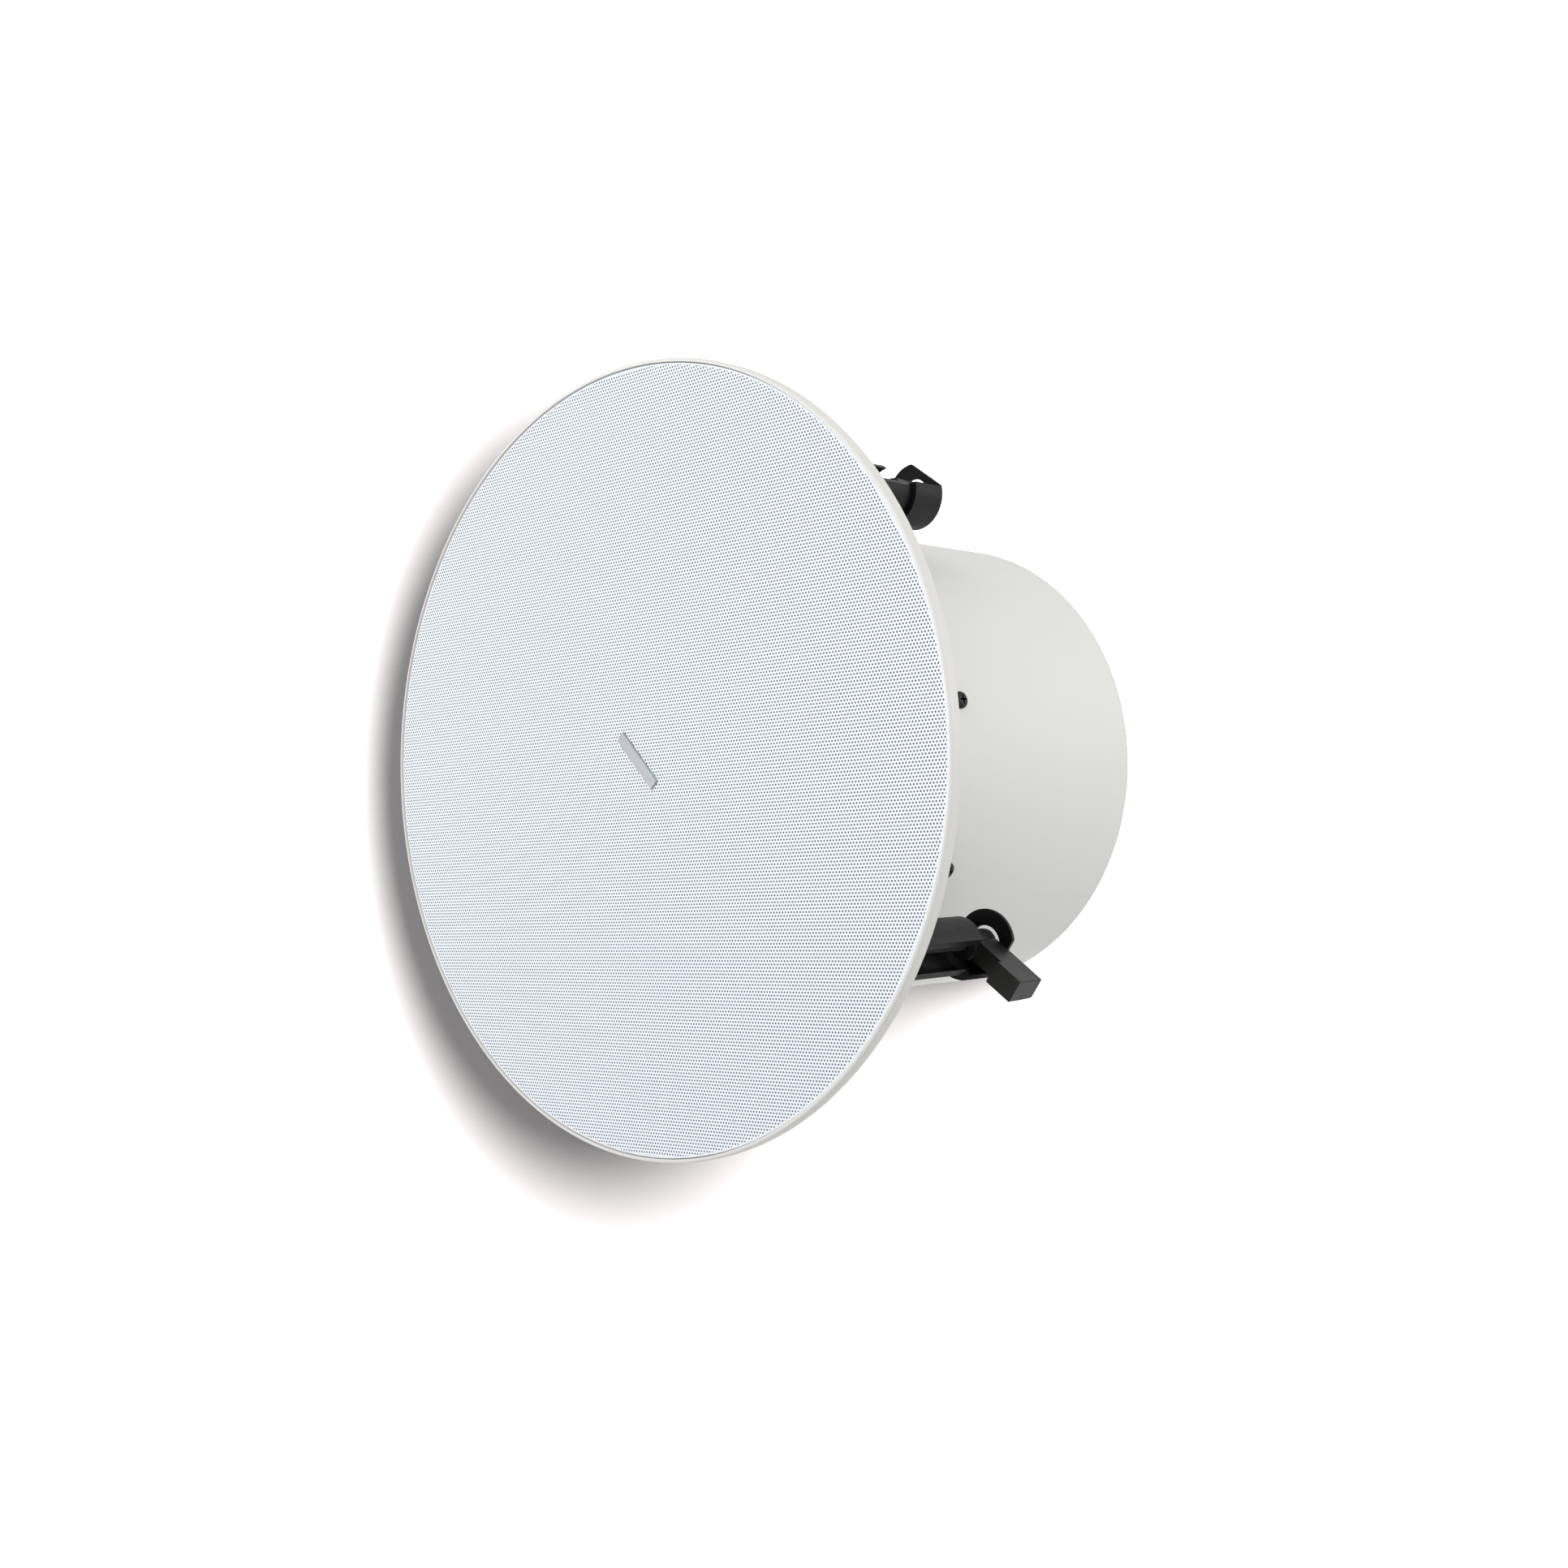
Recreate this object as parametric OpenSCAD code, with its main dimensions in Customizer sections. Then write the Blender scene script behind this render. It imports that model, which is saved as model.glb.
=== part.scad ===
// Round ceiling loudspeaker with a steel back can and four swing-out clamps.
// Units are millimetres. The origin is at the middle of the front face, +Z runs
// towards the back of the can and +X runs through the clamp that is swung open.

/* [Bezel] */
// Outside diameter of the bezel
bezel_d = 320; // [314:1:330]
// Thickness of the flange that covers the edge of the cut-out
flange_t = 6.5; // [6:0.1:8]
// Width of the plain lip round the grille
lip_w = 3.7; // [3:0.1:5]
// Radius on the outer front edge
bezel_edge_r = 1.5; // [0.5:0.1:2]
// Width of the flange round the body that passes through the cut-out
flange_w = 16.5; // [15:0.1:17.5]
// Wall of that body
spigot_wall = 2.5; // [2:0.1:3.5]
// Depth from the front face to the rear face of the baffle
baffle_depth = 18; // [17.5:0.1:19]
// Thickness of the baffle
baffle_t = 3.5; // [3:0.1:4]
// Height of the rim and ribs on the rear of the baffle
rim_h = 4; // [3:0.5:5]
// Thickness of a rib
rib_t = 1.6; // [1.2:0.1:2.4]
// Ribs between two clamps
ribs_between = 5; // [3:1:6]

/* [Grille] */
// Depth of the grille's face below the lip
grille_recess = 1.6; // [1.5:0.1:2]
// Thickness of the perforated sheet
grille_t = 1; // [0.8:0.1:1.2]
// Depth of the grille's turned-in edge behind its face
grille_skirt = 3; // [2.4:0.1:3.2]
// Gap between the grille's edge and the lip
grille_gap = 0.3; // [0.2:0.1:0.5]
// Distance between the centres of two holes in a row
hole_pitch = 10.5; // [9.5:0.5:14]
// Diameter of a hole
hole_d = 5.4; // [4:0.1:6]
// Unpierced border inside the grille's edge
grille_border = 4; // [3:0.5:8]
// Direction of the rows of holes
row_angle = -37; // [-60:1:60]
// Thickness of the cloth behind the grille
cloth_t = 0.4; // [0.3:0.1:0.6]
// Length of the plate on the grille
badge_l = 28.7; // [20:0.1:40]
// Width of that plate
badge_w = 5.3; // [4:0.1:8]
// Thickness of that plate
badge_t = 1.5; // [1:0.1:1.5]
// Direction of the plate's long side
badge_angle = 10.8; // [-90:0.1:90]

/* [Back can] */
// Distance from the outside of the spigot in to the can's wall
can_inset = 41.6; // [41:0.1:42]
// Thickness of the can's sheet
can_wall = 1.2; // [1:0.1:1.5]
// Depth from the front face to the can's rear face
can_depth = 201; // [190:1:215]
// Width of the can's turned-out rim
can_rim_w = 10.6; // [10:0.1:12]
// Radius of the can's rear edge
can_edge_r = 2; // [1.5:0.1:4]
// Thickness of the seal between can and baffle
can_seal_t = 1; // [0.6:0.1:1.5]
// Screws that hold the can
can_screw_count = 8; // [6:1:8]

/* [Clamps] */
// Distance from the outside of the spigot in to a clamp screw's axis
clamp_inset = 13.5; // [13:0.1:14]
// Outside radius of a clamp tower
tower_r = 11.4; // [11:0.1:11.8]
// Wall of a tower
tower_wall = 1.8; // [1.6:0.1:2]
// Distance from the screw to the plane that opens the tower outwards
tower_flat = 7.6; // [7.2:0.1:8]
// Depth from the front face to the tower's ledge
tower_depth = 71; // [60:1:80]
// Outside radius of the cup that shelters the dog
cup_r = 13.6; // [13.2:0.1:13.9]
// Wall of that cup
cup_wall = 1.6; // [1.4:0.1:1.8]
// Thickness of the tower's end plate
end_plate_t = 1.4; // [1.2:0.1:2]
// Distance from the screw to the end plate's straight side
end_plate_flat = 10.2; // [10:0.1:10.6]
// Radius of the hole in the end plate
end_hole_r = 7.1; // [6.8:0.1:7.4]
// Thickness of the tower's foot
foot_t = 2.5; // [2:0.1:3]
// Half the length of the tower's foot
foot_half = 20; // [19:0.5:22]
// Radius of the dog's hub
hub_r = 5.9; // [5.5:0.1:6.2]
// Height of the dog's arm along the screw
dog_h = 13.9; // [12:0.1:16]
// Height of the dog above the tower's ledge when it is at the top
dog_lift = 2; // [1.5:0.1:3]
// Half the width of the arm's neck on its slim side
neck_half = 3.1; // [2.8:0.1:3.4]
// Distance from the front of the block back to the front of the neck
neck_step = 2.2; // [1.8:0.1:2.4]
// Reach of the arm from the screw's axis
arm_reach = 29.9; // [28:0.1:29.9]
// Length of the block at the arm's end
block_l = 13.2; // [12:0.1:14]
// Width of that block
block_w = 9.8; // [9:0.1:10.4]
// Draft of the block's slim side, in degrees
block_draft = 4; // [2:0.5:5]
// Radius of the block's upright edges
block_edge_r = 0.6; // [0.4:0.1:1]
// Clearance above the dog
dog_gap = 0.3; // [0.3:0.1:0.5]
// Radius of the clamp screw's shank
clamp_screw_r = 2.4; // [2:0.1:2.6]
// Radius of the clamp screw's head
clamp_head_r = 4.6; // [4:0.1:5]
// Height of the clamp screw's head
clamp_head_h = 2.6; // [2.4:0.1:3]

/* [Woofer] */
// Clearance between the woofer's frame and the bosses of the can's screws
frame_gap = 1.6; // [1.2:0.1:2]
// Thickness of the frame's sheet
frame_t = 1.2; // [1:0.1:1.4]
// Thickness of the seal under the frame
frame_seal_t = 0.8; // [0.6:0.1:1]
// Width of the frame's flange that lies on the baffle
frame_land_w = 13; // [12.5:0.1:13.5]
// Depth of the frame from its flange to its back
frame_depth = 55.5; // [54:0.5:60]
// Radius of the frame's back pot
pot_r = 50; // [49:0.5:52]
// Windows in the frame
frame_windows = 8; // [6:1:8]
// Radius of the magnet ring
magnet_r = 48; // [45:0.5:49]
// Thickness of the magnet ring
magnet_t = 15; // [12:0.5:16]
// Thickness of the front plate and of the back plate
plate_t = 5; // [4:0.5:6]
// Outside radius of the voice coil's former
former_r = 12.9; // [12.5:0.1:13.5]
// Wall of the former
former_wall = 0.3; // [0.2:0.05:0.4]
// Thickness of the winding on the former
winding_t = 0.6; // [0.5:0.1:0.8]
// Height of the winding
winding_h = 10; // [9:0.5:11]
// Radial gap on each side of the coil
coil_gap = 0.4; // [0.35:0.05:0.6]
// Clearance between the surround and the heads of the frame's screws
surround_gap = 1.4; // [1.2:0.1:1.6]
// Radius of the roll's middle surface
roll_r = 5.4; // [5:0.1:5.6]
// Thickness of the surround
roll_t = 0.6; // [0.4:0.1:0.8]
// Width of the cone's flat edge
cone_edge_w = 4; // [3:0.5:5]
// Thickness of the cone
cone_t = 0.8; // [0.6:0.1:1]
// Depth of the cone from its edge to its neck
cone_depth = 36; // [34:0.5:37]

/* [Tweeter] */
// Radius of the tweeter's housing
tweeter_r = 19; // [18.5:0.1:21]
// Depth from the front face to the tweeter's face
tweeter_depth = 8.5; // [7:0.1:10]
// Length of the tweeter's housing
tweeter_l = 16; // [15.5:0.1:18]
// Wall of the housing
tweeter_wall = 2; // [1.6:0.1:2.2]
// Radius of the tweeter's dome
dome_r = 12.5; // [12:0.1:12.8]
// Height of the dome
dome_h = 4; // [3:0.1:4.2]
// Radius of the tweeter's post
post_r = 4; // [3.5:0.1:4.5]

/* [Transformer] */
// Direction of the transformer in the can
transformer_angle = -27.9; // [-30:0.1:-25]
// Depth from the front face to the transformer's middle
transformer_depth = 82.5; // [82:0.1:84]
// Angle between the transformer's middle and each screw
transformer_screw_angle = 19.4; // [18.5:0.1:20.5]
// Width of the core across the can
core_w = 48; // [46:0.5:49]
// Clearance between the core and the magnet
core_gap = 5.7; // [5:0.1:7]
// Distance between the core and the can's wall
core_stand = 7; // [6.5:0.5:8]
// Stack height of the core
core_stack = 20; // [18:0.5:22]
// Thickness of the bracket's strip
strip_t = 1.2; // [1:0.1:1.5]

/* [Crossover] */
// Length of the board
board_l = 96; // [90:1:110]
// Width of the board
board_w = 62; // [60:1:70]
// Thickness of the board
board_t = 1.6; // [1.2:0.1:2]
// Height of the board's spacers
spacer_h = 8; // [6:0.5:12]
// Radius of the coil on the board
inductor_r = 14; // [12:0.5:16]
// Thickness of the wadding that lines the can
wadding_t = 8; // [6:0.5:12]
// Depth from the front face to the wadding's front edge
wadding_start = 114; // [110:1:120]
// Length of the wadding
wadding_l = 70; // [60:1:72]

/* [Terminals] */
// Length of the cover over the terminals
cover_l = 66; // [62:1:76]
// Width of the cover
cover_w = 44; // [40:1:52]
// Height of the cover
cover_h = 17; // [16:0.5:24]
// Thickness of the cover's sheet
cover_wall = 1; // [0.8:0.1:1.5]
// Radius of the opening for the installer's cable
cable_bore_r = 4; // [3:0.1:4.5]
// Radius of the hole for the safety line
safety_hole_r = 4; // [3:0.1:5]
// Height of the safety bracket
safety_h = 18; // [16:0.5:22]

/* [Hidden] */
$fn = 96;
eps = 0.01;
// Radial running clearance of a shaft in its hole
running = 0.06;
// Clearance between pieces that only lie beside each other
beside = 0.3;
// Radial clearance of a screw in its pilot hole
pilot_gap = 0.05;
// Radial clearance of a screw in a plain hole
hole_gap = 0.4;

clamp_count = 4;
bezel_r = bezel_d / 2;
spigot_r = bezel_r - flange_w;
spigot_in_r = spigot_r - spigot_wall;
baffle_front = baffle_depth - baffle_t;
rim_top = baffle_depth + rim_h;
lip_in_r = bezel_r - lip_w;

grille_r = lip_in_r - grille_gap;
grille_back = grille_recess + grille_t;
shelf_z = grille_back + cloth_t;
skirt_end = grille_recess + grille_skirt + grille_t;
groove_in_r = grille_r - grille_t - grille_gap;

can_r = spigot_r - can_inset;
can_in_r = can_r - can_wall;
can_rim_r = can_r + can_rim_w;
can_start = baffle_depth + can_seal_t;
can_inside = can_depth - can_wall;
can_screw_ring_r = can_r + can_rim_w / 2 + beside;
// Half a step of the can's screws, which keeps them clear of the clamps
can_screw_turn = 180 / can_screw_count;

small_r = 1.75;
small_head_r = 3.2;
small_head_h = 2;
long_screw_l = 9;
short_screw_l = 6;
boss_r = 3.9;
boss_h = 5;

clamp_ring_r = spigot_r - clamp_inset;
dog_z = tower_depth + dog_lift;
end_plate_z = dog_z + dog_h + dog_gap;
foot_w = 15;
foot_screw_y = foot_half - 3.8;
// Direction of the first rib behind a clamp
rib_from = 17.5;
// Directions between which the cup's wall stands, seen from the screw
cup_from = 43.5;
cup_to = 190;
// Depth of the cup's front face behind the ledge, and thickness of its floor
cup_step = 0.8;
cup_floor_t = 1.6;
dog_turn_open = 0;
dog_turn_folded = -120;

frame_screw_count = 8;
frame_r = can_screw_ring_r - boss_r - frame_gap;
cutout_r = frame_r - frame_land_w;
frame_back_z = baffle_front - frame_seal_t;
frame_front_z = frame_back_z - frame_t;
frame_screw_r = frame_r - 5;
frame_in_r = cutout_r - 1;
pot_z = frame_front_z + frame_depth;
ledge_z = pot_z - 11;
land_z = frame_front_z - roll_t;
land_w = 4;
roll_out_r = frame_screw_r - small_head_r - surround_gap - land_w;
roll_mid_r = roll_out_r - roll_r;
cone_out_r = roll_mid_r - roll_r + roll_t / 2;
neck_z = frame_front_z + cone_depth;
front_plate_z = pot_z + frame_t;
magnet_z = front_plate_z + plate_t;
yoke_z = magnet_z + magnet_t;
pole_r = former_r - former_wall - coil_gap;
gap_r = former_r + winding_t + coil_gap;
coil_mid_z = front_plate_z + plate_t / 2;
spider_t = 0.6;

tweeter_back = tweeter_depth + tweeter_l;
tweeter_seat = tweeter_back - tweeter_wall;
tweeter_in_r = tweeter_r - tweeter_wall;
dome_foot_z = tweeter_depth + 5;
dome_t = 0.5;
post_end = yoke_z + plate_t + 6;

board_z = can_inside - spacer_h - board_t;
hole_x = board_l / 2 - 5;
hole_y = board_w / 2 - 5;
wire_hole_r = 5;
wire_hole = [16, 12, 0];
cover_screw_x = cover_l / 2 + 6;
core_out = can_in_r - core_stand;
core_in = magnet_r + core_gap;
coil_bulge = 6;
window = core_w / 6;
safety_y = -62;
safety_t = 2;

// Ring between two radii and two heights
module ring(outer, inner, low, high) {
    translate([0, 0, low])
        difference() {
            cylinder(r = outer, h = high - low);
            translate([0, 0, -eps]) cylinder(r = inner, h = high - low + 2 * eps);
        }
}

// Disc between two heights
module disc(radius, low, high) {
    translate([0, 0, low]) cylinder(r = radius, h = high - low);
}

// Box given by its lowest and highest corners
module block(low, high) {
    translate(low) cube(high - low);
}

// Flat wedge of a given radius between two directions
module wedge(radius, from, to, low, high) {
    steps = ceil((to - from) / 15);
    points = [for (i = [0 : steps]) let (a = from + (to - from) * i / steps) radius * [cos(a), sin(a)]];
    translate([0, 0, low]) linear_extrude(high - low) polygon(concat([[0, 0]], points));
}

// Points of an arc in the profile plane
function arc(cx, cy, radius, from, to, steps = 6) =
    [for (i = [0 : steps]) let (a = from + (to - from) * i / steps)
        [cx + radius * cos(a), cy + radius * sin(a)]];

// Copies round the axis
module around(count, first = 0) {
    for (i = [0 : count - 1]) rotate([0, 0, first + i * 360 / count]) children();
}

// Copies at the four clamp screws, each with +X pointing outwards
module at_clamps() {
    around(clamp_count) translate([clamp_ring_r, 0, 0]) children();
}

module at_clamp(index) {
    rotate([0, 0, index * 360 / clamp_count]) translate([clamp_ring_r, 0, 0]) children();
}

// Copies at the two screws of a tower's foot
module at_foot_screws() {
    for (side = [-1, 1]) translate([0, side * foot_screw_y, 0]) children();
}

// Pan-head screw whose head rests on the plane z = 0 and whose shank goes to -Z
module pan_screw(shank_r, length, head_r, head_h) {
    recess = head_r * 0.55;
    recess_w = head_r * 0.24;
    difference() {
        union() {
            rotate_extrude()
                polygon(concat(
                    [[0, 0], [head_r, 0]],
                    arc(head_r - head_h * 0.7, head_h * 0.3, head_h * 0.7, 0, 90, 4),
                    [[0, head_h]]));
            translate([0, 0, -length + shank_r]) cylinder(r = shank_r, h = length - shank_r + eps);
            translate([0, 0, -length]) cylinder(r1 = shank_r * 0.4, r2 = shank_r, h = shank_r);
        }
        for (turn = [0, 90])
            rotate([0, 0, turn])
                block([-recess, -recess_w / 2, head_h * 0.35], [recess, recess_w / 2, head_h + 1]);
    }
}

// One moulding: flange with its lip, grille groove, spigot and driver baffle
module bezel() {
    color("whitesmoke")
        difference() {
            union() {
                rotate_extrude()
                    polygon(concat(
                        [[lip_in_r, 0]],
                        arc(bezel_r - bezel_edge_r, bezel_edge_r, bezel_edge_r, -90, 0),
                        [[bezel_r, flange_t], [spigot_r, flange_t], [spigot_r, rim_top],
                         [spigot_in_r, rim_top], [spigot_in_r, baffle_depth],
                         [cutout_r, baffle_depth], [cutout_r, baffle_front],
                         [spigot_in_r, baffle_front], [spigot_in_r, shelf_z],
                         [groove_in_r, shelf_z], [groove_in_r, skirt_end],
                         [lip_in_r, skirt_end]]));
                bezel_ribs();
                around(can_screw_count, can_screw_turn)
                    translate([can_screw_ring_r, 0, 0])
                        disc(boss_r, baffle_front - boss_h, baffle_front + eps);
                at_clamps() at_foot_screws() disc(boss_r, baffle_front - boss_h, baffle_front + eps);
            }
            around(can_screw_count, can_screw_turn)
                translate([can_screw_ring_r, 0, 0])
                    disc(small_r + pilot_gap, baffle_front - boss_h + 1, baffle_depth + eps);
            at_clamps() at_foot_screws()
                disc(small_r + pilot_gap, baffle_front - boss_h + 1, baffle_depth + eps);
            around(frame_screw_count)
                translate([frame_screw_r, 0, 0])
                    disc(small_r + pilot_gap, baffle_front - eps, baffle_depth + eps);
            at_clamps() {
                disc(clamp_screw_r + running, baffle_front - eps, baffle_depth + eps);
                block([0, -tower_r - 2, baffle_depth], [clamp_inset + 1, tower_r + 2, rim_top + eps]);
            }
        }
}

// Stiffening ribs between the can's rim and the spigot
module bezel_ribs() {
    step = (360 / clamp_count - 2 * rib_from) / (ribs_between - 1);
    around(clamp_count)
        for (i = [0 : ribs_between - 1])
            rotate([0, 0, rib_from + i * step])
                block([can_rim_r + 1.5, -rib_t / 2, baffle_depth - eps],
                      [spigot_in_r + 1, rib_t / 2, rim_top]);
}

// Pierced sheet with a turned-in edge that sits in the bezel's groove
module grille() {
    pierced_r = grille_r - grille_t - grille_border;
    row_h = hole_pitch * sqrt(3) / 2;
    rows = floor(pierced_r / row_h);
    columns = ceil(pierced_r / hole_pitch);
    color("gainsboro") {
        ring(grille_r, grille_r - grille_t, grille_recess, skirt_end);
        translate([0, 0, grille_recess])
            linear_extrude(grille_t)
                difference() {
                    circle(r = grille_r - grille_t / 2);
                    rotate(row_angle)
                        for (row = [-rows : rows])
                            for (column = [-columns : columns]) {
                                x = (column + (row % 2 == 0 ? 0 : 0.5)) * hole_pitch;
                                y = row * row_h;
                                if (norm([x, y]) < pierced_r - hole_d / 2)
                                    translate([x, y]) circle(d = hole_d, $fn = 16);
                            }
                }
    }
}

// Acoustic cloth that keeps dust out and hides the drivers
module grille_cloth() {
    color("dimgray") disc(groove_in_r - 1, grille_back, shelf_z);
}

// Bare plate stuck on the middle of the grille
module badge_plate() {
    edge = 0.4;
    color("silver")
        rotate([0, 0, badge_angle]) {
            block([-badge_l / 2, -badge_w / 2, grille_recess - badge_t + edge],
                  [badge_l / 2, badge_w / 2, grille_recess]);
            block([-badge_l / 2 + edge, -badge_w / 2 + edge, grille_recess - badge_t],
                  [badge_l / 2 - edge, badge_w / 2 - edge, grille_recess - badge_t + edge + eps]);
        }
}

// Drawn steel can with a turned-out rim
module back_can() {
    color("whitesmoke")
        difference() {
            rotate_extrude()
                polygon(concat(
                    [[can_in_r, can_start], [can_rim_r, can_start], [can_rim_r, can_start + can_wall],
                     [can_r, can_start + can_wall]],
                    arc(can_r - can_edge_r, can_depth - can_edge_r, can_edge_r, 0, 90),
                    [[0, can_depth], [0, can_inside], [can_in_r, can_inside]]));
            around(can_screw_count, can_screw_turn)
                translate([can_screw_ring_r, 0, 0])
                    disc(small_r + hole_gap, can_start - eps, can_start + can_wall + eps);
            at_transformer_screws()
                translate([0, 0, -can_wall]) disc(small_r + hole_gap, -2, can_wall + 2);
            translate(wire_hole) disc(wire_hole_r, can_inside - eps, can_depth + eps);
            for (side = [-1, 1])
                translate([side * cover_screw_x, 0, 0])
                    disc(small_r + pilot_gap, can_inside - eps, can_depth + eps);
            translate([0, safety_y, 0])
                disc(small_r + pilot_gap, can_inside - eps, can_depth + eps);
        }
}

// Foam seal between the can's rim and the baffle
module can_seal() {
    color("dimgray")
        difference() {
            ring(can_rim_r - 0.5, can_in_r, baffle_depth, can_start);
            around(can_screw_count, can_screw_turn)
                translate([can_screw_ring_r, 0, 0])
                    disc(small_r + hole_gap, baffle_depth - eps, can_start + eps);
        }
}

module can_screws() {
    color("silver")
        around(can_screw_count, can_screw_turn)
            translate([can_screw_ring_r, 0, can_start + can_wall])
                pan_screw(small_r, long_screw_l, small_head_r, small_head_h);
}

// Tower that is open outwards, with a wider half cup and an end plate that shelter the dog
module clamp_tower(index) {
    bore_r = tower_r - tower_wall;
    cup_z = tower_depth + cup_step;
    color([0.1, 0.1, 0.1])
        at_clamp(index)
            difference() {
                union() {
                    disc(tower_r, baffle_depth, tower_depth);
                    block([-foot_w / 2, -foot_half, baffle_depth], [foot_w / 2, foot_half, baffle_depth + foot_t]);
                    intersection() {
                        union() {
                            disc(tower_r, tower_depth - eps, cup_z + eps);
                            disc(cup_r, cup_z, cup_z + cup_floor_t);
                            ring(cup_r, cup_r - cup_wall, cup_z, end_plate_z + eps);
                        }
                        wedge(cup_r * 2, cup_from, cup_to, 0, end_plate_z + end_plate_t);
                    }
                    difference() {
                        disc(cup_r, end_plate_z, end_plate_z + end_plate_t);
                        block([end_plate_flat, -cup_r, end_plate_z - eps],
                              [cup_r + 1, cup_r, end_plate_z + end_plate_t + eps]);
                    }
                }
                disc(bore_r, baffle_depth - eps, cup_z + cup_floor_t + eps);
                block([tower_flat, -cup_r, baffle_depth - eps], [tower_r + 1, cup_r, tower_depth + eps]);
                disc(end_hole_r, end_plate_z - eps, end_plate_z + end_plate_t + eps);
                at_foot_screws() disc(small_r + hole_gap, baffle_depth - eps, baffle_depth + foot_t + eps);
            }
}

module tower_screws() {
    color("silver")
        at_clamps()
            at_foot_screws()
                translate([0, 0, baffle_depth + foot_t]) pan_screw(small_r, long_screw_l, small_head_r, small_head_h);
}

// Swinging arm that grips the back of the ceiling panel
module clamp_dog(index, turn) {
    dog_top = dog_z + dog_h;
    color([0.08, 0.08, 0.08])
        at_clamp(index)
            rotate([0, 0, turn])
                difference() {
                    union() {
                        disc(hub_r, dog_z, dog_top);
                        block([0, -block_w / 2, dog_z + neck_step], [arm_reach - block_l / 2, neck_half, dog_top]);
                        rounded_block(arm_reach - block_l, arm_reach, block_w, block_edge_r, dog_z, dog_top);
                    }
                    translate([0, block_w / 2, dog_z])
                        rotate([block_draft, 0, 0])
                            block([tower_r, 0, -1], [arm_reach + 1, block_w, dog_h + 2]);
                    disc(clamp_screw_r + running, dog_z - eps, dog_top + eps);
                }
}

// Upright block with round corners, centred on the X axis
module rounded_block(from, to, width, edge, low, high) {
    translate([0, 0, low])
        linear_extrude(high - low)
            union() {
                translate([from + edge, -width / 2]) square([to - from - 2 * edge, width]);
                translate([from, -width / 2 + edge]) square([to - from, width - 2 * edge]);
                for (x = [from + edge, to - edge])
                    for (y = [-1, 1])
                        translate([x, y * (width / 2 - edge)]) circle(r = edge, $fn = 24);
            }
}

// Long screw that carries the dog, worked from the front
module clamp_screw(index) {
    head_z = baffle_front - 0.1;
    color("silver")
        at_clamp(index)
            translate([0, 0, head_z])
                mirror([0, 0, 1])
                    pan_screw(clamp_screw_r, end_plate_z + end_plate_t - head_z, clamp_head_r, clamp_head_h);
}

// Pressed frame: flange, windowed cone, spider ledge and back pot
module woofer_frame() {
    t = frame_t;
    wall_r = frame_in_r - 1.7;
    wall_z = frame_front_z + 11;
    ledge_r = pot_r + 6;
    window_turn = 360 / frame_windows;
    color("dimgray")
        difference() {
            rotate_extrude()
                polygon([
                    [frame_r, frame_front_z], [frame_r, frame_back_z], [frame_in_r, frame_back_z],
                    [wall_r, wall_z], [ledge_r, ledge_z + t], [pot_r, ledge_z + t], [pot_r, front_plate_z],
                    [gap_r + 1, front_plate_z], [gap_r + 1, pot_z], [pot_r - t, pot_z],
                    [pot_r - t, ledge_z], [ledge_r - t / 2, ledge_z], [wall_r - t, wall_z - t / 2],
                    [frame_in_r - t, frame_front_z]
                ]);
            around(frame_windows)
                difference() {
                    wedge(wall_r - 3, -window_turn * 0.34, window_turn * 0.34, wall_z + 1, ledge_z + 2 * t);
                    disc(ledge_r + 3, wall_z, ledge_z + 3 * t);
                }
            around(frame_screw_count)
                translate([frame_screw_r, 0, 0])
                    disc(small_r + hole_gap, frame_front_z - eps, frame_back_z + eps);
        }
}

module frame_seal() {
    color("black")
        difference() {
            ring(frame_r - 0.5, cutout_r, frame_back_z, baffle_front);
            around(frame_screw_count)
                translate([frame_screw_r, 0, 0])
                    disc(small_r + hole_gap, frame_back_z - eps, baffle_front + eps);
        }
}

module frame_screws() {
    color([0.15, 0.15, 0.15])
        around(frame_screw_count)
            translate([frame_screw_r, 0, frame_front_z])
                mirror([0, 0, 1])
                    pan_screw(small_r, baffle_depth - frame_front_z - 0.5, small_head_r, small_head_h);
}

module front_plate() {
    color("silver") ring(magnet_r - 3, gap_r, front_plate_z, magnet_z);
}

module magnet_ring() {
    color([0.2, 0.2, 0.22]) ring(magnet_r, gap_r + 9, magnet_z, yoke_z);
}

// Back plate and pole, bored for the tweeter's post
module pole_yoke() {
    color("silver")
        difference() {
            union() {
                disc(pole_r, front_plate_z, yoke_z + eps);
                disc(magnet_r - 3, yoke_z, yoke_z + plate_t);
            }
            disc(post_r + running, front_plate_z - eps, yoke_z + plate_t + eps);
        }
}

module voice_coil() {
    color("peru")
        ring(former_r + winding_t, former_r, coil_mid_z - winding_h / 2, coil_mid_z + winding_h / 2);
}

module coil_former() {
    color("tan") ring(former_r, former_r - former_wall, neck_z - 4, coil_mid_z + winding_h / 2);
}

// Corrugated suspension between the former and the frame's ledge
module spider() {
    inner = former_r;
    outer = pot_r + 4.5;
    waves = 4;
    hub_w = 2;
    flat_w = 5;
    height = 1.6;
    start = inner + hub_w;
    end = outer - flat_w;
    steps = waves * 8;
    function wave(i) = height / 2 * (1 - cos(360 * waves * i / steps));
    front = [for (i = [0 : steps]) [start + (end - start) * i / steps, ledge_z - spider_t - wave(i)]];
    back = [for (i = [steps : -1 : 0]) [start + (end - start) * i / steps, ledge_z - wave(i)]];
    color("goldenrod")
        rotate_extrude()
            polygon(concat([[inner, ledge_z - spider_t]], front, [[outer, ledge_z - spider_t], [outer, ledge_z]],
                           back, [[inner, ledge_z]]));
}

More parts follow.
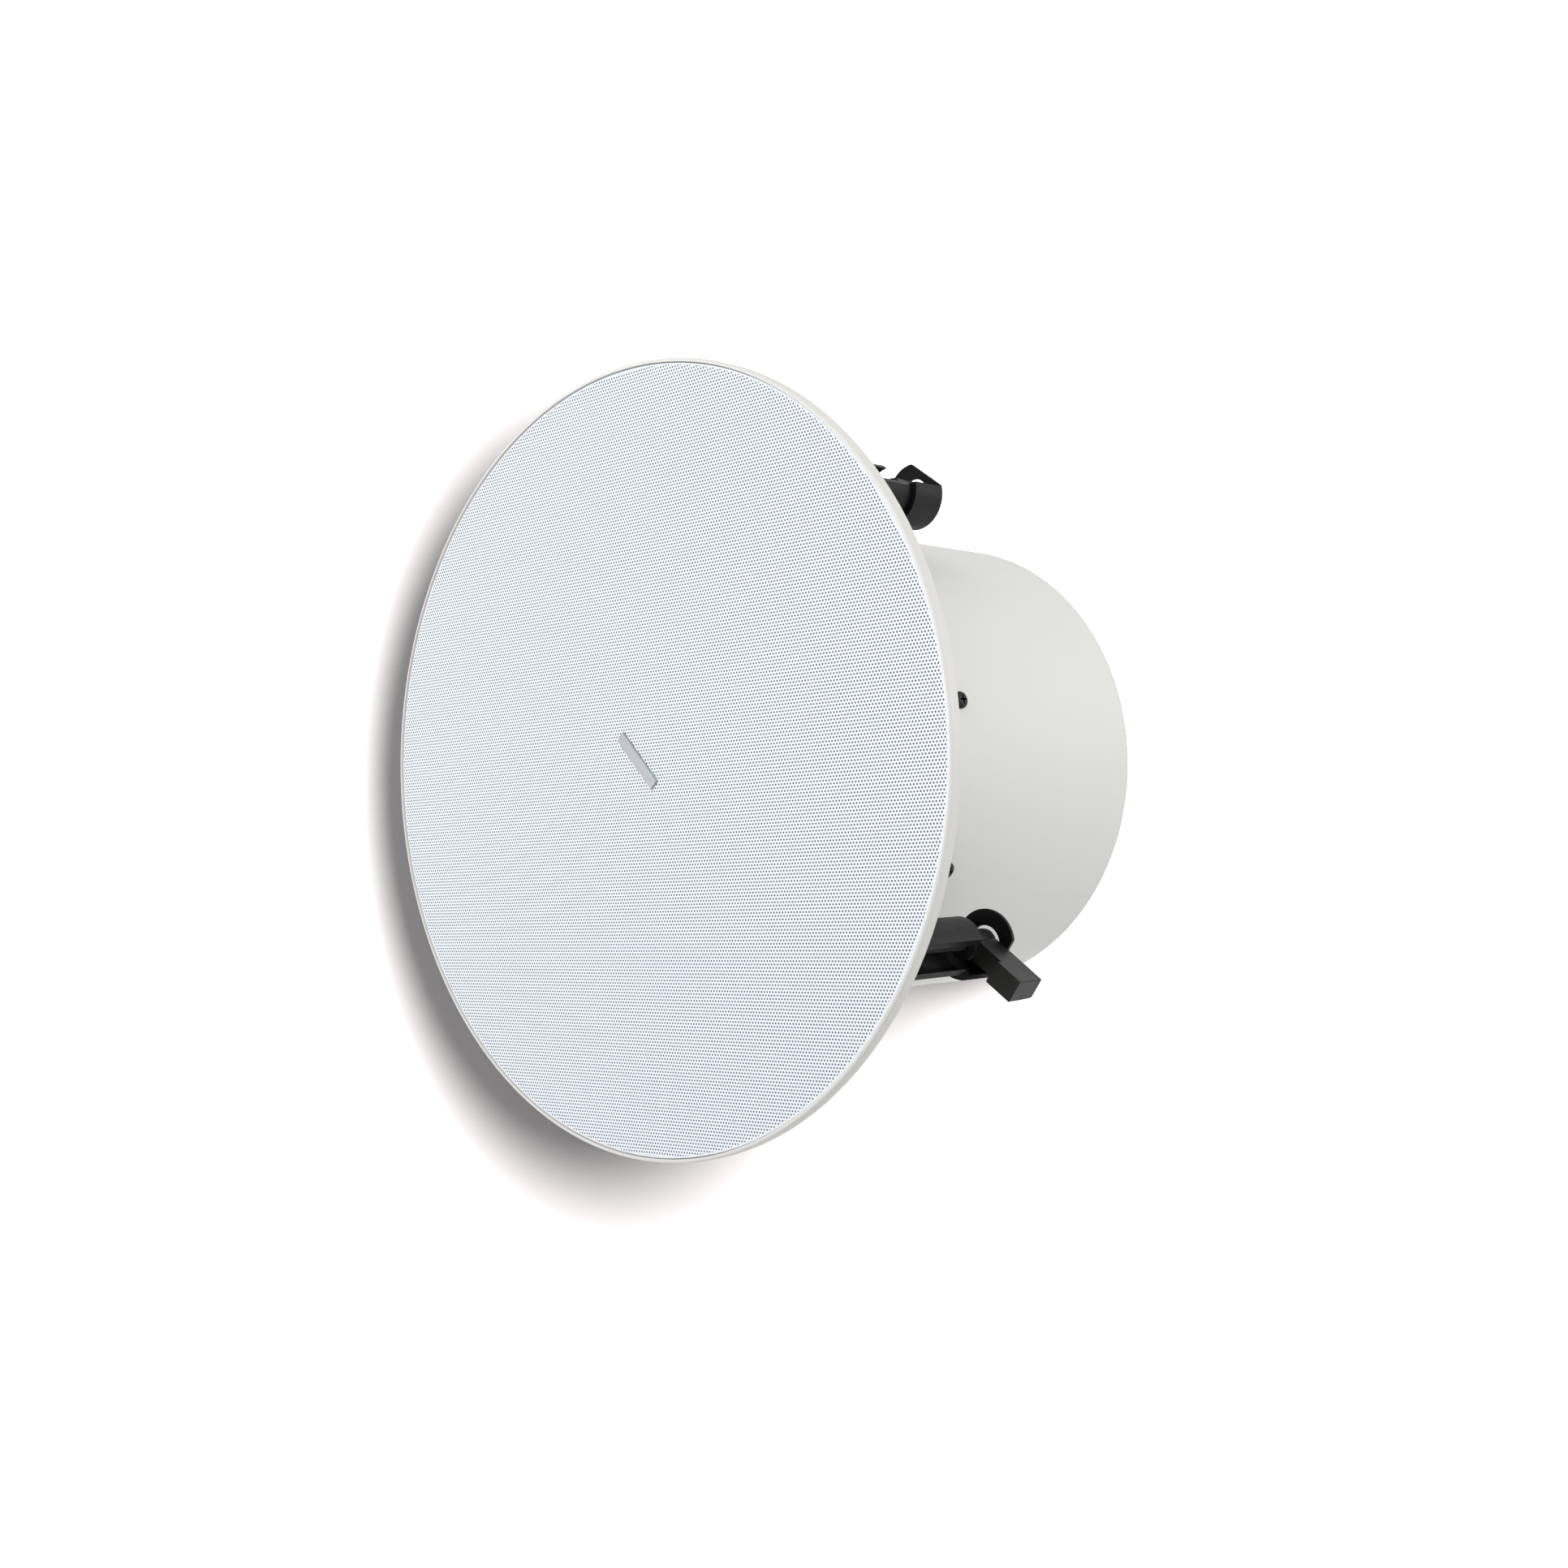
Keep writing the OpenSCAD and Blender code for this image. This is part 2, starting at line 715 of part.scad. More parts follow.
// Paper cone with a curved flare and a flat edge for the surround
module cone() {
    steps = 12;
    rim_r = cone_out_r - cone_edge_w;
    neck_r = former_r;
    function flare(i) = neck_z - (neck_z - frame_front_z) * pow(i / steps, 0.8);
    function out(i) = neck_r + (rim_r - neck_r) * i / steps;
    front = [for (i = [0 : steps]) [out(i), flare(i)]];
    back = [for (i = [steps : -1 : 0]) [out(i) + cone_t * (1 - i / steps), flare(i) + cone_t]];
    color([0.2, 0.2, 0.2])
        rotate_extrude()
            polygon(concat(front, [[cone_out_r, frame_front_z], [cone_out_r, frame_front_z + cone_t]],
                           back, [[neck_r, neck_z + 3 * cone_t]]));
}

// Half-roll rubber edge between the cone and the frame
module surround() {
    outer = roll_r + roll_t / 2;
    inner = roll_r - roll_t / 2;
    color([0.12, 0.12, 0.12])
        rotate_extrude()
            polygon(concat(
                [[cone_out_r - cone_edge_w, frame_front_z], [cone_out_r - cone_edge_w, land_z]],
                arc(roll_mid_r, land_z, outer, 180, 360, 16),
                [[roll_out_r + land_w, land_z], [roll_out_r + land_w, frame_front_z]],
                [[roll_mid_r + inner, frame_front_z]],
                arc(roll_mid_r, land_z, inner, 360, 180, 16),
                [[roll_mid_r - inner, frame_front_z]]));
}

module trim_ring() {
    color("black") ring(roll_out_r + land_w, roll_out_r + 1, land_z - 1.5, land_z);
}

// Cup that carries the tweeter in front of the woofer's neck
module tweeter_housing() {
    color([0.15, 0.15, 0.15])
        difference() {
            rotate_extrude()
                polygon([
                    [tweeter_r, dome_foot_z], [tweeter_r, tweeter_back - 3], [tweeter_r - 3, tweeter_back],
                    [0, tweeter_back], [0, tweeter_seat], [tweeter_in_r, tweeter_seat],
                    [tweeter_in_r, dome_foot_z]
                ]);
            disc(post_r + running, tweeter_seat - eps, tweeter_back + eps);
        }
}

module tweeter_motor() {
    color("silver")
        disc(tweeter_in_r - 0.3, dome_foot_z + 0.8, tweeter_seat);
}

module tweeter_dome() {
    sphere_r = (dome_r * dome_r + dome_h * dome_h) / (2 * dome_h);
    half = asin(dome_r / sphere_r);
    centre_z = dome_foot_z + sphere_r * cos(half);
    color("darkslategray")
        rotate_extrude()
            polygon(concat(
                [for (i = [0 : 10]) sphere_r * [sin(half * i / 10), -cos(half * i / 10)] + [0, centre_z]],
                [[tweeter_in_r - 0.3, dome_foot_z], [tweeter_in_r - 0.3, dome_foot_z + 0.8],
                 [dome_r - dome_t, dome_foot_z + 0.8]],
                [for (i = [10 : -1 : 0])
                    (sphere_r - dome_t) * [sin(half * i / 10), -cos(half * i / 10)] + [0, centre_z]]));
}

// Flared ring in front of the dome
module tweeter_waveguide() {
    throat_r = dome_r + 0.4;
    color([0.12, 0.12, 0.12])
        rotate_extrude()
            polygon(concat(
                [[throat_r, dome_foot_z]],
                arc(tweeter_r - 1.5, dome_foot_z, tweeter_r - 1.5 - throat_r, 180, 250, 6),
                [[tweeter_r - 1, tweeter_depth], [tweeter_r, tweeter_depth + 1], [tweeter_r, dome_foot_z]]));
}

module tweeter_post() {
    color("silver") disc(post_r, tweeter_seat + 0.2, post_end);
}

// Nut that draws the post against the back plate
module tweeter_nut() {
    color("goldenrod")
        difference() {
            translate([0, 0, yoke_z + plate_t]) cylinder(r = post_r * 1.9, h = 4, $fn = 6);
            disc(post_r + running, yoke_z + plate_t - eps, yoke_z + plate_t + 4 + eps);
        }
}

// Frame of the transformer: +X points to the can's wall
module at_transformer() {
    rotate([0, 0, transformer_angle]) translate([0, 0, transformer_depth]) children();
}

// Copies at the two screws in the can's wall, +Z pointing outwards
module at_transformer_screws() {
    at_transformer()
        for (side = [-1, 1])
            rotate([0, 0, side * transformer_screw_angle])
                translate([can_r, 0, 0])
                    rotate([0, 90, 0]) children();
}

// Laminated core with the two windows that the winding fills
module transformer_core() {
    color([0.35, 0.35, 0.38])
        at_transformer()
            difference() {
                block([core_in, -core_w / 2, -core_stack / 2], [core_out, core_w / 2, core_stack / 2]);
                for (side = [-1, 1])
                    block([core_in + window, side * window * 1.5 - window / 2, -core_stack / 2 - eps],
                          [core_out - window, side * window * 1.5 + window / 2, core_stack / 2 + eps]);
            }
}

// Taped winding round the middle limb
module transformer_coil() {
    reach = window * 2 - 0.3;
    rise = core_stack / 2 + coil_bulge;
    color("khaki")
        at_transformer()
            difference() {
                block([core_in + window + 0.3, -reach, -rise], [core_out - window - 0.3, reach, rise]);
                block([core_in, -window, -core_stack / 2], [core_out, window, core_stack / 2]);
            }
}

// Strip that wraps the core and ends in two feet that follow the can's wall
module transformer_bracket() {
    side_y = core_w / 2 + 0.1;
    half_h = core_stack / 2 - 2;
    foot_from = asin(side_y / can_in_r);
    foot_to = transformer_screw_angle + 4;
    color("lightgray")
        difference() {
            at_transformer() {
                block([core_in - strip_t - 0.1, -side_y - strip_t, -half_h], [core_in - 0.1, side_y + strip_t, half_h]);
                for (side = [-1, 1]) {
                    intersection() {
                        block([core_in - 0.2, side * (side_y + strip_t / 2) - strip_t / 2, -half_h],
                              [can_in_r, side * (side_y + strip_t / 2) + strip_t / 2, half_h]);
                        disc(can_in_r, -half_h, half_h);
                    }
                    intersection() {
                        ring(can_in_r, can_in_r - strip_t, -half_h, half_h);
                        rotate([0, 0, side > 0 ? foot_from : -foot_to])
                            wedge(can_r * 1.2, 0, foot_to - foot_from, -half_h, half_h);
                    }
                }
            }
            at_transformer_screws() disc(small_r + pilot_gap, -10, 0);
        }
}

module transformer_screws() {
    color([0.05, 0.05, 0.05])
        at_transformer_screws() pan_screw(small_r, 7, 3.5, 2.2);
}

module wadding() {
    color("ivory")
        ring(can_in_r - 0.3, can_in_r - 0.3 - wadding_t, wadding_start, wadding_start + wadding_l);
}

// Copies at the board's four holes
module at_board_holes() {
    for (x = [-hole_x, hole_x])
        for (y = [-hole_y, hole_y])
            translate([x, y, 0]) children();
}

module crossover_board() {
    color("darkgreen")
        difference() {
            block([-board_l / 2, -board_w / 2, board_z], [board_l / 2, board_w / 2, board_z + board_t]);
            at_board_holes() disc(small_r + hole_gap, board_z - eps, board_z + board_t + eps);
            translate(wire_hole) disc(wire_hole_r, board_z - eps, board_z + board_t + eps);
        }
}

module board_spacers() {
    color("silver")
        at_board_holes()
            difference() {
                disc(small_r + 2, board_z + board_t, can_inside);
                disc(small_r + pilot_gap, board_z, can_inside - 1);
            }
}

module board_screws() {
    color("silver")
        at_board_holes()
            translate([0, 0, board_z]) mirror([0, 0, 1]) pan_screw(small_r, short_screw_l, small_head_r, small_head_h);
}

// Film capacitor that stands on the board
module capacitor() {
    color("goldenrod")
        translate([-34, 0, board_z - 20]) block([-7, -14, 0], [7, 14, 20]);
}

// Air coil on a flanged bobbin
module inductor() {
    h = 18;
    color("peru")
        translate([-6, 0, board_z - h])
            difference() {
                union() {
                    disc(inductor_r, 0, 1.5);
                    disc(inductor_r - 1, 1.5 - eps, h - 1.5 + eps);
                    disc(inductor_r, h - 1.5, h);
                }
                disc(5, -eps, h + eps);
            }
}

// Cement resistor
module resistor() {
    color("white")
        translate([33, 0, board_z - 9.5]) block([-5, -12, 0], [5, 12, 9.5]);
}

// Four-way screw terminal strip on the can's rear face
module terminal_block() {
    ways = 4;
    pitch = 10;
    length = ways * pitch;
    color("whitesmoke")
        translate([-length / 2, -14, can_depth])
            difference() {
                union() {
                    block([0, 0, 0], [length, 16, 7]);
                    for (i = [0 : ways - 1])
                        translate([(i + 0.5) * pitch, 8, 0]) disc(3.8, 7 - eps, 12);
                }
                for (i = [0 : ways - 1]) {
                    translate([(i + 0.5) * pitch, 8, 0]) disc(2.2, 4, 12 + eps);
                    translate([(i + 0.5) * pitch, -eps, 3]) rotate([-90, 0, 0]) cylinder(r = 1.6, h = 16 + 2 * eps);
                }
            }
}

// Steel cover with two screw tabs and a cable opening
module terminal_cover() {
    color("whitesmoke")
        translate([0, 0, can_depth])
            difference() {
                union() {
                    block([-cover_l / 2, -cover_w / 2, 0], [cover_l / 2, cover_w / 2, cover_h]);
                    block([-cover_screw_x - 6, -8, 0], [cover_screw_x + 6, 8, cover_wall]);
                }
                block([-cover_l / 2 + cover_wall, -cover_w / 2 + cover_wall, -eps],
                      [cover_l / 2 - cover_wall, cover_w / 2 - cover_wall, cover_h - cover_wall]);
                for (side = [-1, 1])
                    translate([side * cover_screw_x, 0, 0]) disc(small_r + hole_gap, -eps, cover_wall + eps);
                translate([0, cover_w / 2 + eps, cover_h / 2])
                    rotate([90, 0, 0]) cylinder(r = cable_bore_r + 2, h = cover_wall + 2 * eps);
            }
}

module cover_screws() {
    color("silver")
        for (side = [-1, 1])
            translate([side * cover_screw_x, 0, can_depth + cover_wall])
                pan_screw(small_r, short_screw_l, small_head_r, small_head_h);
}

// Rubber grommet in the cover, bored for the installer's cable
module cable_grommet() {
    lip = 1.4;
    color([0.1, 0.1, 0.1])
        translate([0, cover_w / 2 - cover_wall / 2, can_depth + cover_h / 2])
            rotate([90, 0, 0])
                difference() {
                    union() {
                        disc(cable_bore_r + 2, -cover_wall / 2 - eps, cover_wall / 2 + eps);
                        disc(cable_bore_r + 3.2, cover_wall / 2, cover_wall / 2 + lip);
                        disc(cable_bore_r + 3.2, -cover_wall / 2 - lip, -cover_wall / 2);
                    }
                    disc(cable_bore_r, -cover_wall / 2 - lip - eps, cover_wall / 2 + lip + eps);
                }
}

// Rubber grommet that seals the wires' way into the can
module wire_grommet() {
    color([0.1, 0.1, 0.1])
        translate(wire_hole) {
            ring(wire_hole_r, 2, can_inside - eps, can_depth + eps);
            ring(wire_hole_r + 1.5, 2, can_inside - 1.5, can_inside);
            ring(wire_hole_r + 1.5, 2, can_depth, can_depth + 1.5);
        }
}

// Folded steel tab for the safety line
module safety_bracket() {
    half_l = 9;
    color("silver")
        translate([0, safety_y, can_depth])
            difference() {
                union() {
                    block([-half_l, -8, 0], [half_l, 8, safety_t]);
                    block([-half_l, -8 - safety_t, 0], [half_l, -8, safety_h - half_l]);
                    translate([0, -8, safety_h - half_l]) rotate([90, 0, 0]) cylinder(r = half_l, h = safety_t);
                }
                disc(small_r + hole_gap, -eps, safety_t + eps);
                translate([0, -8 + eps, safety_h - half_l])
                    rotate([90, 0, 0]) cylinder(r = safety_hole_r, h = safety_t + 2 * eps);
            }
}

module bracket_screw() {
    color("silver")
        translate([0, safety_y, can_depth + safety_t]) pan_screw(small_r, short_screw_l, small_head_r, small_head_h);
}

bezel();
grille();
grille_cloth();
badge_plate();
back_can();
can_seal();
can_screws();
clamp_tower(0);  // clamp_tower_1
clamp_tower(1);  // clamp_tower_2
clamp_tower(2);  // clamp_tower_3
clamp_tower(3);  // clamp_tower_4
tower_screws();
clamp_dog(0, dog_turn_open);  // clamp_dog_1
clamp_dog(1, dog_turn_folded);  // clamp_dog_2
clamp_dog(2, dog_turn_folded);  // clamp_dog_3
clamp_dog(3, dog_turn_folded);  // clamp_dog_4
clamp_screw(0);  // clamp_screw_1
clamp_screw(1);  // clamp_screw_2
clamp_screw(2);  // clamp_screw_3
clamp_screw(3);  // clamp_screw_4
woofer_frame();
frame_seal();
frame_screws();
front_plate();
magnet_ring();
pole_yoke();
voice_coil();
coil_former();
spider();
cone();
surround();
trim_ring();
tweeter_housing();
tweeter_motor();
tweeter_dome();
tweeter_waveguide();
tweeter_post();
tweeter_nut();
transformer_core();
transformer_coil();
transformer_bracket();
transformer_screws();
wadding();
crossover_board();
board_spacers();
board_screws();
capacitor();
inductor();
resistor();
terminal_block();
terminal_cover();
cover_screws();
cable_grommet();
wire_grommet();
safety_bracket();
bracket_screw();
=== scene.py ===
"""Look of the ceiling speaker: finishes, the finely pierced grille, threads, stage, lights and camera."""
import math

import bpy
from mathutils import Matrix, Vector
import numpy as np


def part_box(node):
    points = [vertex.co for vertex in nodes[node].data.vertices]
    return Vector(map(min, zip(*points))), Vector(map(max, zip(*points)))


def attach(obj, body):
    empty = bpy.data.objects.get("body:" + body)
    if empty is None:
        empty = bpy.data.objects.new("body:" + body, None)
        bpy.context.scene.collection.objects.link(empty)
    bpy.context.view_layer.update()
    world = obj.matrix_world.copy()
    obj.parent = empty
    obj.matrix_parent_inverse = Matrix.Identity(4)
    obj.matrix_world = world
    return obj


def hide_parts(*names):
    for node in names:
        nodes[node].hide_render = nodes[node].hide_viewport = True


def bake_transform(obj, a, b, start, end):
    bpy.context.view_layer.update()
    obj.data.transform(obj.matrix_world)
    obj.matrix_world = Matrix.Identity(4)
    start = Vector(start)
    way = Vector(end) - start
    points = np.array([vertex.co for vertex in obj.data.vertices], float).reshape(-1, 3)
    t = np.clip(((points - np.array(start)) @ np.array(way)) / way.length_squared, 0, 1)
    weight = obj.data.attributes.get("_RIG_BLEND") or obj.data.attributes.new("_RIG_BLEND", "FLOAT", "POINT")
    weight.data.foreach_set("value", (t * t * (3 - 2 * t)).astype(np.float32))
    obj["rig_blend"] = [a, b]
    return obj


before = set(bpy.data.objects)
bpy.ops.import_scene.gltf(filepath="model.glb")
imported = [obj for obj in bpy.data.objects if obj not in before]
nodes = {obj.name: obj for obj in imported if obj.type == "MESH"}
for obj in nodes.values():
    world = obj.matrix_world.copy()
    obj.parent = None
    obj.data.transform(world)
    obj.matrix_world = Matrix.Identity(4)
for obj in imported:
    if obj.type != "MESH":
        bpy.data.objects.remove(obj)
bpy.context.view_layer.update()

MM = 0.001

# Camera, fitted to the photograph: its place and axes in the object's frame, and its focal length
CAMERA_PLACE = Vector((0.4783, -0.3047, -0.5202))
CAMERA_RIGHT = Vector((0.60747, -0.40608, 0.68270))
CAMERA_FORWARD = Vector((-0.56987, 0.37596, 0.73069))
FOCAL_PIXELS = 2359.84
PHOTO_PIXELS = 1932
SENSOR_MM = 36.0

# Grille sheet, in millimetres; a hole's radius is given as a share of the pitch, the angle of the rows in degrees
HOLE_PITCH = 1.49
HOLE_SHARE = 0.27
ROW_ANGLE = -37.1
UNPIERCED_EDGE = 0.7
GRILLE_SHEET = 1.0
GRILLE_EDGE_R = 0.5
GRILLE_FRONT = 0.8

# Rim of the bezel, in millimetres: how much narrower the lip and thinner the flange are than in the solids
LIP_CUT = 2.1
FLANGE_CUT = 1.5
# What the solids have there: radii on both sides of the lip's inner wall, a radius inside the flange's back, and depths
LIP_WALL_FROM = 154
LIP_WALL_TO = 157
FLANGE_FROM = 143
FLANGE_BACK = 6.5
GROOVE_END = 5.6
SAME_DEPTH = 0.1

# Radii between which surround and spider give, in millimetres
SURROUND_IN = 77.6
SURROUND_OUT = 88.4
SPIDER_IN = 14.9
SPIDER_OUT = 49.5

# Clamp screws, in millimetres
LEAD = 2.0
THREAD_R = 2.4
THREAD_DEPTH = 0.35
HEAD_R = 4.6
HEAD_LENGTH = 2.6
# Depth of the thread's groove along one turn, as a share of THREAD_DEPTH, and the points round the shank
THREAD_SHAPE = (0, 0.15, 0.85, 1, 0.85, 0.15)
THREAD_AROUND = 20

# Direction of the plate's long side, in degrees
BADGE_ANGLE = 10.8

# Stage, in metres; SHOWN is what the floor adds to itself for the camera alone
FLOOR_Z = -0.0004
FLOOR_HALF = 1.6
FLOOR_SHOWN = 0.4
BACKDROP_AWAY = 1.0
BACKDROP_HALF = 0.8
BACKDROP_COLOR = (0.245, 0.235, 0.235)
AIM = Vector((0, 0, 0.06))

# World: the tint and strength that light the object, and the white that camera, mirror and glass see
SKY_TINT = (0.97, 0.985, 1, 1)
SKY_LIGHT = 0.55
WHITE = (1, 1, 1, 1)


def srgb(*values):
    """Linear colour for 8-bit values as they show on a screen."""
    return [(v / 255 / 12.92) if v <= 10 else ((v / 255 + 0.055) / 1.055) ** 2.4 for v in values]


def camera_axes():
    right = CAMERA_RIGHT.normalized()
    forward = (CAMERA_FORWARD - right * CAMERA_FORWARD.dot(right)).normalized()
    return right, right.cross(forward), forward


def make_camera():
    right, up, forward = camera_axes()
    data = bpy.data.cameras.new("camera")
    data.sensor_width = SENSOR_MM
    data.lens = FOCAL_PIXELS / PHOTO_PIXELS * SENSOR_MM
    data.clip_start = 0.01
    data.clip_end = 20
    camera = bpy.data.objects.new("camera", data)
    camera.matrix_world = Matrix((
        (right.x, up.x, -forward.x, CAMERA_PLACE.x),
        (right.y, up.y, -forward.y, CAMERA_PLACE.y),
        (right.z, up.z, -forward.z, CAMERA_PLACE.z),
        (0, 0, 0, 1)))
    bpy.context.scene.collection.objects.link(camera)
    bpy.context.scene.camera = camera


class Shader:
    """A material with a Principled shader and short calls for the nodes in front of it."""

    def __init__(self, name, color, roughness, metallic=0.0, specular=0.5):
        self.material = bpy.data.materials.new(name)
        self.material.use_nodes = True
        self.tree = self.material.node_tree
        self.shader = self.tree.nodes["Principled BSDF"]
        self.shader.inputs["Base Color"].default_value = (*color, 1)
        self.shader.inputs["Roughness"].default_value = roughness
        self.shader.inputs["Metallic"].default_value = metallic
        self.shader.inputs["Specular IOR Level"].default_value = specular
        self.coords = self.tree.nodes.new("ShaderNodeTexCoord").outputs["Object"]

    def link(self, source, target):
        self.tree.links.new(source, target)

    def plug(self, value, socket):
        if hasattr(value, "node"):
            self.link(value, socket)
        else:
            socket.default_value = value

    def math(self, operation, a, b=0.0, c=0.0):
        node = self.tree.nodes.new("ShaderNodeMath")
        node.operation = operation
        for value, socket in zip((a, b, c), node.inputs):
            self.plug(value, socket)
        return node.outputs[0]

    def mapped(self, scale=(1, 1, 1), turn=0.0):
        """Object coordinates, turned about Z by a number of degrees and scaled."""
        turned = self.tree.nodes.new("ShaderNodeVectorRotate")
        turned.rotation_type = "Z_AXIS"
        turned.inputs["Angle"].default_value = math.radians(turn)
        self.link(self.coords, turned.inputs["Vector"])
        scaled = self.tree.nodes.new("ShaderNodeVectorMath")
        scaled.operation = "MULTIPLY"
        self.link(turned.outputs[0], scaled.inputs[0])
        scaled.inputs[1].default_value = scale
        return scaled.outputs[0]

    def noise(self, scale, detail=3.0, stretch=(1, 1, 1), turn=0.0):
        node = self.tree.nodes.new("ShaderNodeTexNoise")
        node.inputs["Scale"].default_value = scale
        node.inputs["Detail"].default_value = detail
        self.link(self.mapped(stretch, turn), node.inputs["Vector"])
        return node.outputs["Fac"]

    def ranged(self, value, low, high, to_low, to_high, smooth=False):
        node = self.tree.nodes.new("ShaderNodeMapRange")
        node.interpolation_type = "SMOOTHSTEP" if smooth else "LINEAR"
        self.link(value, node.inputs["Value"])
        for name, number in (("From Min", low), ("From Max", high), ("To Min", to_low), ("To Max", to_high)):
            node.inputs[name].default_value = number
        return node.outputs["Result"]

    def mixed(self, factor, first, second):
        node = self.tree.nodes.new("ShaderNodeMix")
        node.data_type = "RGBA"
        self.plug(factor, node.inputs["Factor"])
        for value, socket in ((first, node.inputs["A"]), (second, node.inputs["B"])):
            self.plug(value if hasattr(value, "node") else (*value, 1), socket)
        return node.outputs["Result"]

    def color(self, value):
        self.link(value, self.shader.inputs["Base Color"])
        return self

    def rough(self, value):
        self.link(value, self.shader.inputs["Roughness"])
        return self

    def bump(self, height, strength, distance):
        node = self.tree.nodes.new("ShaderNodeBump")
        node.inputs["Strength"].default_value = strength
        node.inputs["Distance"].default_value = distance
        self.link(height, node.inputs["Height"])
        self.link(node.outputs["Normal"], self.shader.inputs["Normal"])
        return self


def paint(name, color, roughness, grain=900, relief=0.00004, tint=0.03, specular=0.5):
    """Powder coat or moulded plastic: a fine grain and a faint change of tone."""
    made = Shader(name, color, roughness, specular=specular)
    dark = [c * (1 - tint) for c in color]
    made.color(made.mixed(made.noise(14, 2), dark, color))
    made.rough(made.ranged(made.noise(grain / 4, 2), 0.3, 0.7, roughness - 0.05, roughness + 0.06))
    return made.bump(made.noise(grain, 2), 0.25, relief)


def metal(name, color, roughness, stretch=(1, 1, 1), scale=600, turn=0.0):
    """Plated or brushed metal: streaks where the noise is stretched."""
    made = Shader(name, color, roughness, metallic=1.0)
    streak = made.noise(scale, 3, stretch, turn)
    made.color(made.mixed(streak, [c * 0.82 for c in color], color))
    made.rough(made.ranged(streak, 0.3, 0.7, roughness - 0.08, roughness + 0.1))
    return made.bump(streak, 0.2, 0.00003)


def weave(name, color, pitch, roughness=0.9):
    """Plain woven cloth with threads along X and Y, painted darker where the weave dips between them: painted shade."""
    made = Shader(name, color, roughness)
    split = made.tree.nodes.new("ShaderNodeSeparateXYZ")
    made.link(made.mapped((1 / pitch,) * 3), split.inputs[0])
    over = made.math("MULTIPLY", made.math("SINE", made.math("MULTIPLY", split.outputs[0], math.pi)),
                     made.math("SINE", made.math("MULTIPLY", split.outputs[1], math.pi)))
    height = made.math("ABSOLUTE", over)
    # Painted shade: the colour darkens to 0.45 of itself in the gaps between threads, following the same height as the
    # bump
    made.color(made.mixed(height, [c * 0.45 for c in color], color))
    return made.bump(height, 0.6, pitch * 0.3)


def fibres(name, color, scale, roughness=0.95):
    """Pulp or wadding: tangled fibres."""
    made = Shader(name, color, roughness, specular=0.2)
    tangle = made.noise(scale, 6)
    made.color(made.mixed(tangle, [c * 0.7 for c in color], [min(1, c * 1.15) for c in color]))
    return made.bump(tangle, 0.6, 0.0004)


def pierced_sheet(outer):
    """Painted steel sheet with round holes on a hexagonal lattice, dark cloth showing through them."""
    light = srgb(240, 244, 250)
    dark = srgb(92, 100, 114)
    made = Shader("pierced_sheet", light, 0.5)
    split = made.tree.nodes.new("ShaderNodeSeparateXYZ")
    made.link(made.mapped((1 / (HOLE_PITCH * MM),) * 3, -ROW_ANGLE), split.inputs[0])
    row = math.sqrt(3)

    def distance(shift_x, shift_y):
        x = made.math("SUBTRACT", split.outputs[0], shift_x)
        y = made.math("SUBTRACT", split.outputs[1], shift_y)
        dx = made.math("SUBTRACT", x, made.math("ROUND", x))
        dy = made.math("SUBTRACT", y, made.math("MULTIPLY", made.math("ROUND", made.math("DIVIDE", y, row)), row))
        return made.math("SQRT", made.math("ADD", made.math("MULTIPLY", dx, dx), made.math("MULTIPLY", dy, dy)))

    nearest = made.math("MINIMUM", distance(0, 0), distance(0.5, row / 2))
    hole = made.ranged(nearest, HOLE_SHARE - 0.03, HOLE_SHARE + 0.03, 1, 0, smooth=True)
    radius = made.tree.nodes.new("ShaderNodeVectorMath")
    radius.operation = "LENGTH"
    flat = made.mapped((1, 1, 0))
    made.link(flat, radius.inputs[0])
    pierced_r = (outer - UNPIERCED_EDGE) * MM
    inside = made.ranged(radius.outputs["Value"], pierced_r - 0.0003, pierced_r, 1, 0)
    hole = made.math("MULTIPLY", hole, inside)
    tone = made.mixed(made.noise(9, 2), [c * 0.97 for c in light], light)
    made.color(made.mixed(hole, tone, dark))
    made.rough(made.ranged(hole, 0, 1, 0.45, 0.95))
    depth = made.ranged(nearest, HOLE_SHARE - 0.06, HOLE_SHARE + 0.08, 0, 1, smooth=True)
    return made.bump(depth, 0.5, 0.0003)


def lathe(name, profile, steps, closed=True):
    """Mesh turned about the Z axis from (radius, z) points in millimetres."""
    verts = []
    faces = []
    count = len(profile)
    for i in range(steps):
        a = 2 * math.pi * i / steps
        verts += [(r * math.cos(a) * MM, r * math.sin(a) * MM, z * MM) for r, z in profile]
    last = count if closed else count - 1
    for i in range(steps):
        here, after = i * count, (i + 1) % steps * count
        for j in range(last):
            k = (j + 1) % count
            faces.append((here + j, after + j, after + k, here + k))
    mesh = bpy.data.meshes.new(name)
    mesh.from_pydata(verts, [], faces)
    mesh.update()
    made = bpy.data.objects.new(name, mesh)
    bpy.context.scene.collection.objects.link(made)
    return made


def smooth(made, angle=35):
    made.data.polygons.foreach_set("use_smooth", [True] * len(made.data.polygons))
    made.data.set_sharp_from_angle(angle=math.radians(angle))


def dress(made, shader):
    made.data.materials.clear()
    made.data.materials.append(shader.material)


def finish_node(name, shader, bevel=0.0):
    """Gives a CAD node its material, and its hard edges a small radius in millimetres."""
    made = nodes[name]
    dress(made, shader)
    if bevel:
        rounding = made.modifiers.new("edges", "BEVEL")
        rounding.width = bevel * MM
        rounding.segments = 2
        rounding.limit_method = "ANGLE"
        rounding.angle_limit = math.radians(40)
        rounding.harden_normals = True


def copied(name, node):
    """Own mesh that starts as a copy of a CAD node and stands for it."""
    made = bpy.data.objects.new(name, nodes[node].data.copy())
    bpy.context.scene.collection.objects.link(made)
    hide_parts(node)
    return made


